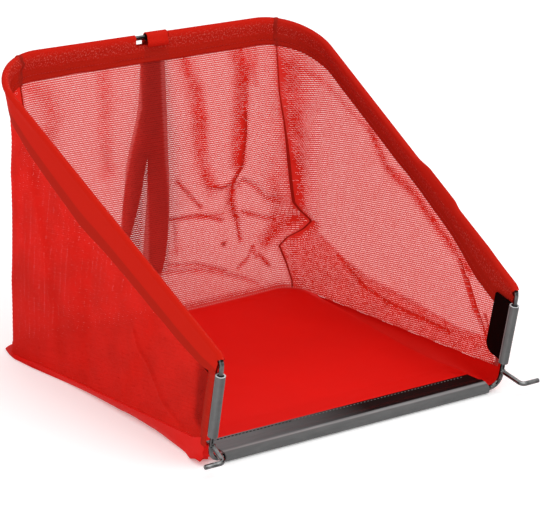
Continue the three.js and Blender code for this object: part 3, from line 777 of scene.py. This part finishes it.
hem = {
    "radius": 3.7,
    # how far down it reaches, by place along the wall
    "outerDrop": {"left": ((-22, 0, 40, 150, 212, 300, 390), (18, 26, 30, 36, 42, 36, 26)),
                  "right": ((-22, 390), (22, 28)), "back": ((-200, 200), (28, 28))},
    "innerDrop": {"left": ((-22, 0, 390), (20, 26, 28)),
                  "right": ((-22, -12, 8, 40, 90, 150, 390), (16, 26, 40, 40, 30, 28, 28)),
                  "back": ((-200, 200), (28, 28))},
    # cross section: share of the drop, distance from the wall
    "outside": ((1.03, 0.35), (0.97, 0.7), (0.8, 0.75), (0.62, 0.6), (0.42, 0.6), (0.24, 0.6), (0.1, 0.5)),
    "turns": np.radians(np.linspace(-8, 200, 14)),
    "inside": ((0.2, -6.5), (0.3, -5.4), (0.42, -3.9), (0.54, -2.9), (0.66, -2.3), (0.74, -2.6),
               (0.80, -2.0), (0.9, -1.9), (0.97, -1.9), (1.0, -1.5), (1.01, -0.6)),
    # the right sleeve rides up over the wire, with a step
    "loose": ((5, 30, 84, 92, 140, 160), (0, 2, 1.5, 5, 5, 0)),
    # painted shade on each hem's inner side and where the strap hangs behind the back hem; the seams are dark
    "innerShade": {"left": 0.0, "back": 0.05, "right": 0.22}, "seamDark": 0.6, "strapShade": 0.22,
    "ruffle": 0.9, "torn": 2.2, "tornLength": 5,
}
notch = {"left": -18, "right": 22, "low": 308.5}


def hemStrip(panel):
    onBack = panel == "back"
    edges = np.linspace(0, 1, 160 if onBack else 150)
    if onBack:  # the notch's sides need columns of their own
        for x in (notch["left"], notch["right"]):
            probe = np.linspace(0, 1, 4000)
            edges = np.append(edges, probe[np.argmin(np.abs(columnsOf("back", probe)["rim"][:, 0] - x))])
        edges = np.sort(edges)
    c = columnsOf(panel, edges)
    up = np.cross(c["heading"], c["rimOut"])
    up *= np.sign(up[:, 2])[:, None]
    along = alongWall(panel, c["rim"])
    wobble = cloudy(along, 0 * along, 22) - 0.5
    looseness = np.interp(along, *hem["loose"]) if panel == "right" else 0 * along
    section = []
    for share, out in hem["outside"]:
        drop = (np.interp(along, *hem["outerDrop"][panel]) + wobble) * share
        section.append(onWall(panel, edges, c["length"] - drop, out))
    for turn in hem["turns"]:
        lifted = (hem["radius"] + looseness * max(math.sin(turn), 0))[:, None]
        section.append(c["rim"] + c["rimOut"] * hem["radius"] * math.cos(turn) + up * math.sin(turn) * lifted)
    for share, out in hem["inside"]:
        drop = (np.interp(along, *hem["innerDrop"][panel]) + wobble) * share
        ruffle = hem["ruffle"] * (cloudy(along, 40 * share + 0 * along, 12) - 0.5)
        section.append(onWall(panel, edges, c["length"] - drop, out + ruffle * (0.3 < share < 0.95)))
    grid = np.stack(section, 1)
    steps = np.arange(grid.shape[1])
    if not onBack:  # the ends at the front are torn
        jag = hem["torn"] * (cloudy(steps * 9.0, 0 * steps, 7) - 0.6)
        grid += (bell(edges * 370, hem["tornLength"])[:, None] * jag)[..., None] * c["heading"][:, None]
    ribs = runAlong(grid[len(grid) // 2])
    across = ribs / ribs[-1]
    # painted shade on the inner side and where the strap blocks the light from behind, and dark seams
    shade = hem["innerShade"][panel] * np.clip((across - 0.42) / 0.1, 0, 1) * np.ones((len(grid), 1))
    seamWidth = 2.2 + 1.5 * cloudy(across * 60, 0 * across, 6)
    dark = bell(seamShare(panel, edges)[:, None] * 350, seamWidth)
    shade = np.maximum(shade, hem["seamDark"] * dark * (across > 0.4))
    keep = None
    if onBack:
        behind = (along > -6) & (along < 24)
        inside = (across > 0.62) & (across < 0.97)
        shade = np.maximum(shade, hem["strapShade"] * behind[:, None] * inside)
        middle = (along[:-1] + along[1:]) / 2
        cut = (middle > notch["left"]) & (middle < notch["right"])
        for i in np.where(cut[1:] & cut[:-1])[0] + 1:  # the cut edge is level
            high = np.where(grid[i, :, 2] > notch["low"])[0]
            grid[i, high[0]:high[-1] + 1, 2] = notch["low"]
        tall = grid[:, :, 2] >= notch["low"] - 0.01
        keep = ~(cut[:, None] & tall[:-1, :-1] & tall[:-1, 1:] & tall[1:, :-1] & tall[1:, 1:])
    return gridPiece(panel + "_hem", grid, "hem", panel + "_panel",
                     gridUvs(grid, runAlong(c["rim"]) * mm, across), keep, shade=shade)


hems = {panel: hemStrip(panel) for panel in panels}
print("hems made")


# upright seams at the back corners: a narrow folded edge inside and out, and a band round the hem

seam = {"half": ((0, 60, 100, 150, 200, 290), (0.8, 1.2, 1.8, 1.8, 0.9, 0.6)), "leftHalf": 0.9, "thick": 0.7,
        "dark": ((0, 60, 75, 140, 190, 230, 290), (0.3, 0.4, 0.5, 0.5, 0.3, 0.05, 0.0)), "leftDark": 0.1,
        "section": [(-1, 0), (-0.8, 1), (0, 1.3), (0.8, 1), (1, 0), (0.8, -1), (0, -1.3), (-0.8, -1)],
        "wobble": 0.8, "band": ((-2.4, -0.2), (-1.6, 0.5), (0, 0.8), (1.6, 0.5), (2.4, -0.2)), "wander": 2.4,
        "bandDark": 0.5, "bandPale": 0.05}
doubled = 0.9  # cloth coordinate of the hem's doubled part


def cornerSeam(name, side):
    ones = np.ones(120)
    c = columnsOf(name, ones)
    rise = np.linspace(0.5, c["length"][0] - 6, len(ones))
    middle = onWall(name, ones, rise)
    across = np.cross(c["out"], [0, 0, 1.0])
    wobble = seam["wobble"] * (cloudy(rise, 0 * rise, 14) - 0.5)[:, None]
    half = np.interp(rise, *seam["half"])[:, None] if side > 0 else seam["leftHalf"]
    # darkness along the corner seams: painted shade of the corner crease, by height on the right
    dark = np.interp(rise, *seam["dark"]) if side > 0 else seam["leftDark"] * ones
    grid = np.stack([middle + across * (a * half + 0.4 * wobble) + c["out"] * b * seam["thick"]
                     for a, b in seam["section"]], 1)
    return gridPiece(name + "_corner_seam", grid, "hem", name + "_panel", gridUvs(grid, rise * mm, doubled),
                     closed=True, capped=True, shade=np.repeat(dark, len(seam["section"])))


def hemCorner(name):
    steps = np.arange(len(hem["outside"]) + len(hem["turns"]) + len(hem["inside"]))
    points = np.array([vertex.co for vertex in hems[name].data.vertices])
    last = points[-len(steps):] / mm + [0, bag["middle"], 0]
    c = columnsOf(name, np.array([1.0]))
    heading = c["heading"][0]
    outward = last - (c["rim"][0] + [0, 0, -6])
    outward = unit(outward - np.outer(outward @ heading, heading))
    wander = (cloudy(steps * 5.0, 0 * steps, 8) - 0.5) * seam["wander"]
    grid = np.stack([last + heading * (a + wander)[:, None] + outward * lift for a, lift in seam["band"]])
    shade = np.where(steps > 15, seam["bandDark"], seam["bandPale"])  # darker inside
    shade = shade * (0.6 + 0.8 * chance.random(grid.shape[:2]))
    return gridPiece(name + "_hem_corner", grid, "hem", name + "_panel", gridUvs(grid, doubled, doubled),
                     shade=shade)


# the walls' front edges, doubled and tucked beside the uprights: section (behind, aside), its shade
band = {"low": 19, "high": 101, "shade": (0, 0, 0, 0.12, 0.3, 0.25),
        "section": ((2.8, 4.5), (4.5, 4.5), (7, 4.3), (10, 4.1), (13, 3.8), (16, 3.4))}


def frontBand(name, side):
    rise = np.linspace(band["low"], band["high"], 60)
    rows = []
    for back, aside in band["section"]:
        wave = 0.8 * (cloudy(rise, back + 0 * rise, 13) - 0.5)
        y = -(rise - bag["railHeight"]) * math.tan(lean) + back + (wave if back > 10 else 0)
        x = side * (bag["frontWidth"] / 2 + aside + 0.5 * wave)
        rows.append(np.stack([x, y, rise], -1))
    grid = np.stack(rows, 1)
    return gridPiece(name + "_front_band", grid, "hem", name + "_panel", gridUvs(grid, rise * mm, doubled),
                     shade=np.tile(band["shade"], len(grid)))


corners = {name: [cornerSeam(name, side), hemCorner(name), frontBand(name, side)]
           for name, side in sides.items()}
print("corners made")


# stitches: short rounded runs of thread along a line, with their step, length, radius and finish

stitches = {"hem": (3.6, 2.6, 0.28, "redThread"), "floor": (3.0, 1.7, 0.36, "paleThread"),
            "strap": (3.0, 2.2, 0.3, "redThread"), "dark": (4.2, 2.8, 0.5, "blackThread"),
            "pale": (4.2, 1.7, 0.5, "greyThread")}


def stitchRow(name, points, normals, kind):
    step, length, radius, finish = stitches[kind]
    points, normals = np.asarray(points, float), np.asarray(normals, float)
    run = runAlong(points)
    vertices, faces = [], []
    for place in np.arange(step / 2, run[-1] - length / 2, step):
        place += chance.normal(0, 0.12)
        a, b = pickAt(place - length / 2, run, points), pickAt(place + length / 2, run, points)
        out = unit(pickAt(place, run, normals))
        aside = np.cross(unit(b - a), out)
        start = len(vertices)
        for share, size in ((0, 0.35), (0.18, 1), (0.82, 1), (1, 0.35)):
            middle = a + (b - a) * share + out * (0.2 * size)
            for angle in np.radians(range(0, 360, 60)):
                vertices.append(middle + (aside * math.cos(angle) + out * math.sin(angle)) * radius * size)
        for ring in range(start, start + 18, 6):
            for turn in range(6):
                p, q = ring + turn, ring + (turn + 1) % 6
                faces.append((p, q, q + 6, p + 6))
        faces += [tuple(range(start + 5, start - 1, -1)), tuple(range(start + 18, start + 24))]
    addPiece(name, vertices, faces, finish)


def hemStitches(panel):
    u = np.linspace(0.004, 0.996, 240)
    c = columnsOf(panel, u)
    drop = np.interp(alongWall(panel, c["rim"]), *hem["innerDrop"][panel])
    line = onWall(panel, u, c["length"] - drop * 0.78, -2.2)
    stitchRow(panel + "_hem_stitches", line, -c["out"], "hem")


# the seam that joins the walls to the floor, pale where its stitches show inside
def floorStitches(name, side):
    point, out, _ = feet[side].at(np.linspace(6, feet[side].length - 1, 120))
    stitchRow(name + "_floor_stitches", point - out * 0.9 + [0, 0, 1.2], -out * 0.8 + [0, 0, 0.6], "floor")


for panel in panels:
    hemStitches(panel)
for name, side in sides.items():
    floorStitches(name, side)
print("hem and floor stitched")


# floor panel: its sides hang in a belly on the ground and rise steeply to the seam

floor = {
    "thick": 0.7, "lip": 8, "ear": 4.5, "tail": 32, "liftEnd": 85, "frontTop": 7.2, "wave": 1.1, "front": 6.3,
    # half width on the ground, by place along the floor
    "bellyAt": (0, 19, 39, 65, 96, 154, 215, 263, 322, 354, 375, 400),
    "belly": {-1: (185, 184, 178, 175, 170, 169.5, 175, 183, 192, 195, 194, 190),
              1: (172, 174, 176, 175, 170, 170, 175, 181, 186, 190, 190, 188)},
    "flat": 0.8, "backFrom": 315, "backOver": 45, "swell": 1.6, "frontRise": 4.5, "torn": 5.5,
    "turnFrom": 0.93, "earWidth": 0.18, "columns": 120, "rows": 110,
}


def floorPoint(s, v):
    side = -1 if s < 0 else 1
    foot = feet[side]
    edge = foot.at(v * foot.seam)[0]
    y = edge[1]
    belly = float(np.interp(y, floor["bellyAt"], floor["belly"][side]))
    nearBack = smoothStep((y - floor["backFrom"]) / floor["backOver"])
    edgeX = abs(edge[0]) + 1.0
    edgeX += (belly - edgeX) * nearBack
    lift = float(liftAt(y)) * (1 - nearBack)
    ramp = (1 - smoothStep((y - floor["tail"]) / (floor["liftEnd"] - floor["tail"]))) * floor["frontTop"]
    z = floor["thick"]
    if abs(s) <= floor["flat"]:
        x = belly * math.sin(abs(s) / floor["flat"] * math.pi / 2)
        free = smoothStep((y - 40) / 60) * smoothStep((belly - x) / 40)
        wave = floor["wave"] * free * (cloudy(x * side, y, 70) + 0.4 * cloudy(x * 2 * side, y, 40) - 0.3)
        z += (ramp + wave) * smoothStep((belly - x) / 26)
    else:
        t = (abs(s) - floor["flat"]) / (1 - floor["flat"])
        x = belly + (edgeX - belly) * math.sin(t * math.pi / 2)
        z += lift * (1 - math.cos(t * math.pi / 2))
        swell = floor["swell"] * smoothStep((300 - y) / 200) * math.sin(t * math.pi)
        x += swell * (cloudy(y, z * 2, 18) - 0.5)
    z += floor["frontRise"] * smoothStep((26 - y) / 18) * smoothStep((x - 165) / 16)
    if v == 0:  # torn front edge at the sides
        torn = floor["torn"] * smoothStep((x - 172) / 5)
        y = floor["front"] - torn * (0.2 + 1.1 * float(cloudy(z * 3, x, 6)))
    point = np.array([side * x, y, z])
    turn = smoothStep((v - floor["turnFrom"]) / (1 - floor["turnFrom"]))
    if turn > 0:  # the back edge swings round into the line of the back wall
        back, backOut, _ = foot.at(foot.seam + (foot.length - foot.seam) * (1 - min(abs(s) / 0.96, 1)))
        target = back + backOut * (floor["lip"] + floor["ear"] * bell(1 - abs(s), floor["earWidth"]))
        target[2] = floor["thick"]
        point = point * (1 - turn) + target * turn
    return point


def floorPanel():
    across = np.linspace(-1, 1, floor["columns"] + 1)
    along = (1 - np.cos(np.linspace(0, math.pi, floor["rows"] + 1))) / 2
    grid = np.array([[floorPoint(s, v) for s in across] for v in along])
    raised = np.abs(across) > floor["flat"]
    # painted shade on the floor's raised sides, fading in from the front
    shade = 0.16 * raised * np.clip((grid[:, :, 1] - 20) / 60, 0, 1)
    return gridPiece("floor_cloth", grid, "floor", "floor_panel", grid[:, :, :2] * mm, shade=shade)


floorCloth = floorPanel()
print("floor made")


# strap: rolled round the back rail, two legs that meet in a loop

strapY = bag["depth"] + bag["wallOffset"] + 0.6 + strap["standOff"]


def smoothPath(points, count):
    points = np.array(points, float)
    spread = np.vstack([2 * points[0] - points[1], points, 2 * points[-1] - points[-2]])
    result = []
    for k in range(len(points) - 1):
        p0, p1, p2, p3 = spread[k:k + 4]
        for s in np.linspace(0, 1, 24, endpoint=False):
            a = 2 * p1 + (p2 - p0) * s + (2 * p0 - 5 * p1 + 4 * p2 - p3) * s ** 2
            result.append((a + (3 * p1 - p0 - 3 * p2 + p3) * s ** 3) / 2)
    result = np.array(result + [points[-1]])
    run = runAlong(result)
    return pickAt(np.linspace(0, run[-1], count), run, result)


def strapPiece():
    depth, high, centre, reach = bag["depth"], bag["backHeight"], strap["centre"], strap["rollReach"]
    legs = smoothPath([(x, strapY + y, z) for x, y, z in strap["path"]], 260)
    turn = smoothStep((np.linspace(0, 1, len(legs)) - 0.16) / 0.68) * math.pi
    # up from the second leg, over the rail, down in front of it and back under it
    roll = [(centre, depth + reach * math.cos(a), high + reach * math.sin(a))
            for a in np.radians(np.linspace(20, 188, 22))]
    roll += [(centre, depth - reach - 0.9, high - 4), (centre, depth - 5.6, high - 10)]
    path = np.vstack([legs, [(7.6, strapY - 0.9, high - 4)], roll])
    turn = np.append(turn, np.full(len(path) - len(turn), math.pi))
    heading = unit(np.gradient(path, axis=0))
    width = np.cross(heading, np.stack([np.sin(turn), np.cos(turn), 0 * turn], -1))
    width[len(legs):] = (np.sign(width[len(legs) - 1, 0]), 0, 0)
    width = unit(width)
    out = np.cross(width, heading)
    half, thick = strap["width"] / 2, strap["thick"] / 2
    face = [(-half + 0.5, thick), (-half * 0.5, thick), (0, thick), (half * 0.5, thick), (half - 0.5, thick)]
    ring = [(-half, 0), *face, (half, 0), *[(a, -b) for a, b in reversed(face)]]
    grid = np.stack([path + width * a + out * b for a, b in ring], 1)
    run = runAlong(path) * mm
    piece = gridPiece("hanging_strap_band", grid, "strap", "hanging_strap",
                      gridUvs(grid, run, [a * mm for a, b in ring]), closed=True, capped=True)
    print("strap length", round(float(run[-1] / mm)))
    return piece, float(run[-1])


strapBand, strapLength = strapPiece()


# a ring of points in the plane of two directions
def ringPoints(centre, first, second, radius, count):
    turns = np.linspace(0, 2 * math.pi, count, endpoint=False)
    return [centre + radius * (first * math.cos(t) + second * math.sin(t)) for t in turns]


hollowShade = {"half": 12.6, "inner": 3.0, "outer": 3.95}


# a black tube in the rolled strap's hollow: painted shade inside the roll
def rollHollowShade():
    low, high = strap["centre"] - hollowShade["half"], strap["centre"] + hollowShade["half"]
    inner, outer = hollowShade["inner"], hollowShade["outer"]
    y, z = np.eye(3)[1:]
    grid = [ringPoints(np.array([x, bag["depth"], bag["backHeight"]]), y, z, radius, 28)
            for x, radius in ((low, inner), (low, outer), (high, outer), (high, inner), (low, inner))]
    gridPiece("roll_hollow_shade", grid, "hollowShade", closed=True)


def strapStitches():
    y, low, high = strapY + strap["seamProud"], strap["seams"][0], strap["seamTop"]
    left, right = strap["centre"] - strap["seamHalf"], strap["centre"] + strap["seamHalf"]
    rows = [[(left, y, z), (right, y, z)] for z in strap["seams"]]
    rows += [[(x, y, low), (x, y, high)] for x in (left, right)]
    for number, row in enumerate(rows):
        stitchRow("strap_stitches_%d" % number, row, [(0, 1, 0)] * 2, "strap")


# stitches along the front profile's tail: one thread, dark on the left and pale to the right with a painted
# highlight
tailSeam = {"y": 28, "z": 10.1, "dark": (-154, -62), "pale": (-60, 150)}


def profileStitches():
    for tone in ("dark", "pale"):
        line = [(x, tailSeam["y"], tailSeam["z"]) for x in tailSeam[tone]]
        stitchRow("front_profile_stitches_" + tone, line, [(0, 0, 1)] * 2, tone)


rollHollowShade()
strapStitches()
profileStitches()
print("strap and front profile stitched")


# welds, and the pale rings where the side profiles' tubes are cut off

weld = {"height": 17, "front": 2.6, "size": (3.3, 2.2, 3.0)}
tubeRim = {"top": 94.5, "outer": 5.0, "inner": 3.4, "proud": 0.15}


# a point on an upright's axis, at a length up from the front rail
def onUpright(side, length):
    return np.array([side * bag["frontWidth"] / 2, -math.sin(lean) * length,
                     bag["railHeight"] + math.cos(lean) * length])


def weldBead(name, side):
    ball = bmesh.new()
    bmesh.ops.create_icosphere(ball, subdivisions=3, radius=1)
    ball.verts.index_update()
    p = np.array([vertex.co for vertex in ball.verts])
    faces = [[vertex.index for vertex in face.verts] for face in ball.faces]
    ball.free()
    bumpy = 1 + 0.16 * np.sin(5 * p[:, 0] + 3 * p[:, 2]) + 0.1 * np.sin(9 * p[:, 1] + 2)
    middle = onUpright(side, weld["height"]) - [0, weld["front"], 0]
    addPiece(name + "_weld", middle + p * bumpy[:, None] * weld["size"], faces, "wire")


def cutRim(name, side):
    proud = tubeRim["proud"]
    grid = [ringPoints(onUpright(side, tubeRim["top"] + lift), np.eye(3)[0], squareOn, radius, 32)
            for radius, lift in ((tubeRim["outer"], 0), (tubeRim["outer"] - 0.15, proud),
                                 (tubeRim["inner"] + 0.15, proud), (tubeRim["inner"], 0))]
    gridPiece(name + "_cut_rim", grid, "rim", closed=True)


for make in (weldBead, cutRim):
    for name, side in sides.items():
        make(name, side)
print("welds and cut rims made")


# carried-over solids

for name, finish in (("frame_wire", "wire"), ("left_hook", "wire"), ("right_hook", "wire"),
                     ("front_edge_profile", "frontPlastic"), ("left_edge_profile", "sidePlastic"),
                     ("right_edge_profile", "sidePlastic")):
    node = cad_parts[name]
    node.data.materials.clear()
    node.data.materials.append(materials[finish])
print("solids painted")


# studio

studio = {"world": 1.0, "mirrored": 2.2, "key": 14, "keySize": 1.2, "keyPlace": (0.5, -1.5, 2.1),
          "floor": 0.95, "glow": 0.2, "half": 12, "drop": 0.0004}


def addGround():
    half, z = studio["half"], -studio["drop"]
    mesh = bpy.data.meshes.new("studio_floor")
    square = [(-half, -half, z), (half, -half, z), (half, half, z), (-half, half, z)]
    mesh.from_pydata(square, [], [(0, 1, 2, 3)])
    ground = bpy.data.objects.new("studio_floor", mesh)
    scene.collection.objects.link(ground)
    material, _, shader = newMaterial("studio_floor", studio["floor"], 0.9, specular=0.0)
    shader.inputs["Emission Color"].default_value = (1, 1, 1, 1)
    shader.inputs["Emission Strength"].default_value = studio["glow"]
    mesh.materials.append(material)


def addLight():
    world = bpy.data.worlds.new("studio")
    world.use_nodes = True
    tree = world.node_tree
    plain = tree.nodes["Background"]
    plain.inputs["Color"].default_value = (1, 1, 1, 1)
    plain.inputs["Strength"].default_value = studio["world"]
    # what metal mirrors: a dark room with light overhead
    height = splitVector(tree, coordinates(tree, "Generated"))["Z"]
    room = colourRamp(tree, height, [(0.0, 0.02), (0.5, 0.02), (0.6, 0.9), (1.0, 1.0)])
    mirrored = addNode(tree, "ShaderNodeBackground", Color=room, Strength=studio["mirrored"])
    glossy = addNode(tree, "ShaderNodeLightPath").outputs["Is Glossy Ray"]
    both = mixShaders(tree, glossy, plain.outputs["Background"], mirrored.outputs["Background"])
    tree.links.new(both, tree.nodes["World Output"].inputs["Surface"])
    scene.world = world
    data = bpy.data.lights.new("key", "AREA")
    data.energy = studio["key"]
    data.size = studio["keySize"]
    light = bpy.data.objects.new("key", data)
    light.location = studio["keyPlace"]
    light.rotation_euler = (Vector((0, 0, 0.12)) - light.location).to_track_quat("-Z", "Y").to_euler()
    scene.collection.objects.link(light)
    scene.view_settings.view_transform = "Standard"


addGround()
addLight()
print("studio lit")
